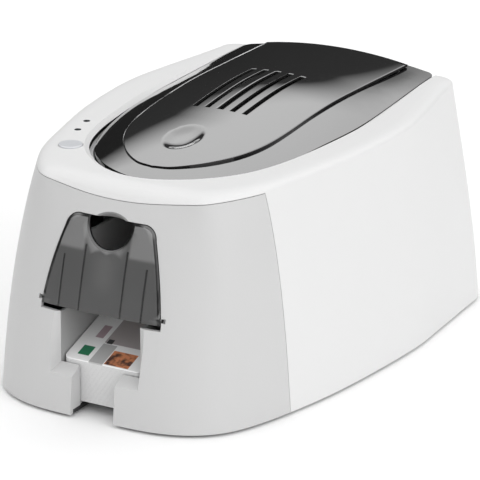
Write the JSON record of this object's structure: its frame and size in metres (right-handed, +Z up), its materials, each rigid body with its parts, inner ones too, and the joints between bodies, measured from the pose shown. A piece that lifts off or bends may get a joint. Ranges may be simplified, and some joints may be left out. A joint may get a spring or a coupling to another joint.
{
  "type": "id card printer",
  "caption": "Desktop printer for plastic ID cards: rounded light housing, glossy hinged lid, smoked feeder door and open output bay with a card stack.",
  "frame": {"origin": "on the ground under the middle of the housing", "axes": "+X to the right seen from the front, +Y to the back, +Z up"},
  "size_m": [0.2305, 0.3223, 0.1622],
  "materials": {
    "shell_plastic": "fine moulded texture",
    "front_plastic": "satin",
    "lid_gloss": "piano gloss",
    "lid_frame_plastic": "fine moulded texture",
    "door_smoke": "satin smoke",
    "base_plastic": "fine moulded texture",
    "foot_rubber": "matt",
    "frame_steel": "zinc plated sheet",
    "shaft_steel": "ground",
    "roller_rubber": "matt",
    "gear_plastic": "moulded acetal",
    "bush_plastic": "moulded",
    "motor_metal": "black can",
    "spool_plastic": "moulded",
    "ribbon_dye": "dyed film",
    "head_ceramic": "ceramic",
    "sink_aluminium": "extruded",
    "spring_steel": "spring",
    "bracket_plastic": "moulded",
    "tray_plastic": "fine moulded texture",
    "card_white": "card",
    "card_print": "printed card",
    "board_green": "lacquered",
    "socket_black": "moulded",
    "socket_metal": "plated shell",
    "connector_grey": "fine moulded texture",
    "button_grey": "satin metallic",
    "lens_clear": "clear"
  },
  "bodies": {
    "base": {"base_plate": "base_plastic", "feet": "foot_rubber", "main_cover": "shell_plastic", "front_cover": "front_plastic", "side_frame_left": "frame_steel", "side_frame_right": "frame_steel", "cross_ties": "frame_steel", "frame_screws": "frame_steel", "bushings": "bush_plastic", "gear_pins": "shaft_steel", "drive_motor": "motor_metal", "ribbon_film": "ribbon_dye", "hinge_brackets": "frame_steel", "hinge_pins": "shaft_steel", "feeder_hopper": "tray_plastic", "output_tray": "tray_plastic", "card_stack": "card_white", "printed_card": "card_print", "main_board": "board_green", "board_spacers": "bush_plastic", "connector_plate": "connector_grey", "connector_board": "board_green", "power_socket": "socket_black", "usb_socket": "socket_metal", "button_board": "board_green", "lamp_lenses": "lens_clear"},
    "lid": {"lid_band": "lid_gloss", "lid_panel": "lid_gloss", "lid_frame": "lid_frame_plastic", "head_bracket": "bracket_plastic", "head_springs": "spring_steel", "heat_sink": "sink_aluminium", "print_head": "head_ceramic"},
    "door": {"feeder_door": "door_smoke"},
    "button": {"control_button": "button_grey"},
    "front_idler": {"front_idler_gear": "gear_plastic"},
    "middle_idler": {"middle_idler_gear": "gear_plastic"},
    "drive_wheel": {"drive_gear": "gear_plastic"},
    "pinion": {"motor_pinion": "gear_plastic", "motor_shaft": "shaft_steel"},
    "front_pinch": {"front_pinch_roller": "shaft_steel"},
    "back_pinch": {"back_pinch_roller": "shaft_steel"},
    "supply": {"supply_spool": "spool_plastic", "supply_ribbon_roll": "ribbon_dye"},
    "takeup": {"takeup_spool": "spool_plastic", "takeup_ribbon_roll": "ribbon_dye"},
    "feed_roller": {"feed_roller_shaft": "shaft_steel", "feed_roller_rubber": "roller_rubber", "feed_roller_gear": "gear_plastic"},
    "transport_roller": {"transport_roller_shaft": "shaft_steel", "transport_roller_rubber": "roller_rubber", "transport_roller_gear": "gear_plastic"},
    "platen_roller": {"platen_roller_shaft": "shaft_steel", "platen_roller_rubber": "roller_rubber", "platen_roller_gear": "gear_plastic"},
    "exit_roller": {"exit_roller_shaft": "shaft_steel", "exit_roller_rubber": "roller_rubber", "exit_roller_gear": "gear_plastic"}
  },
  "joints": [
    {"name": "lid_hinge", "type": "hinge", "parent": "base", "child": "lid", "pos_m": [0, 0.141, 0.141], "axis": [-1, 0, 0], "range_deg": [0, 80]},
    {"name": "door_hinge", "type": "hinge", "parent": "base", "child": "door", "pos_m": [0, -0.14755, 0.0695], "axis": [1, 0, 0], "range_deg": [0, 90]},
    {"name": "button_press", "type": "slide", "parent": "base", "child": "button", "axis": [0, 0, -1], "range_m": [0, 0.0008], "stiffness_N_per_m": 900},
    {"name": "drive_gear_spin", "type": "hinge", "parent": "base", "child": "drive_wheel", "pos_m": [0, 0.036, 0.0625], "axis": [1, 0, 0], "continuous": true},
    {"name": "motor_spin", "type": "hinge", "parent": "base", "child": "pinion", "pos_m": [0, 0.036, 0.0385], "axis": [1, 0, 0], "continuous": true},
    {"name": "front_idler_spin", "type": "hinge", "parent": "base", "child": "front_idler", "pos_m": [0, -0.036, 0.0625], "axis": [1, 0, 0], "continuous": true},
    {"name": "middle_idler_spin", "type": "hinge", "parent": "base", "child": "middle_idler", "pos_m": [0, 0, 0.0625], "axis": [1, 0, 0], "continuous": true},
    {"name": "front_pinch_spin", "type": "hinge", "parent": "base", "child": "front_pinch", "pos_m": [0, -0.018, 0.07756], "axis": [1, 0, 0], "continuous": true},
    {"name": "back_pinch_spin", "type": "hinge", "parent": "base", "child": "back_pinch", "pos_m": [0, 0.054, 0.07756], "axis": [1, 0, 0], "continuous": true},
    {"name": "supply_spool_spin", "type": "hinge", "parent": "base", "child": "supply", "pos_m": [0, 0.064, 0.106], "axis": [1, 0, 0], "continuous": true},
    {"name": "takeup_spool_spin", "type": "hinge", "parent": "base", "child": "takeup", "pos_m": [0, -0.028, 0.106], "axis": [1, 0, 0], "continuous": true},
    {"name": "feed_roller_spin", "type": "hinge", "parent": "base", "child": "feed_roller", "pos_m": [0, -0.054, 0.0625], "axis": [1, 0, 0], "continuous": true},
    {"name": "transport_roller_spin", "type": "hinge", "parent": "base", "child": "transport_roller", "pos_m": [0, -0.018, 0.0625], "axis": [1, 0, 0], "continuous": true},
    {"name": "platen_roller_spin", "type": "hinge", "parent": "base", "child": "platen_roller", "pos_m": [0, 0.018, 0.0625], "axis": [1, 0, 0], "continuous": true},
    {"name": "exit_roller_spin", "type": "hinge", "parent": "base", "child": "exit_roller", "pos_m": [0, 0.054, 0.0625], "axis": [1, 0, 0], "continuous": true}
  ],
  "couplings": [
    {"joint": "motor_spin", "follows": "drive_gear_spin", "ratio": -3},
    {"joint": "front_idler_spin", "follows": "drive_gear_spin", "ratio": 1},
    {"joint": "middle_idler_spin", "follows": "drive_gear_spin", "ratio": 1},
    {"joint": "feed_roller_spin", "follows": "drive_gear_spin", "ratio": -1},
    {"joint": "transport_roller_spin", "follows": "drive_gear_spin", "ratio": -1},
    {"joint": "platen_roller_spin", "follows": "drive_gear_spin", "ratio": -1},
    {"joint": "exit_roller_spin", "follows": "drive_gear_spin", "ratio": -1}
  ]
}
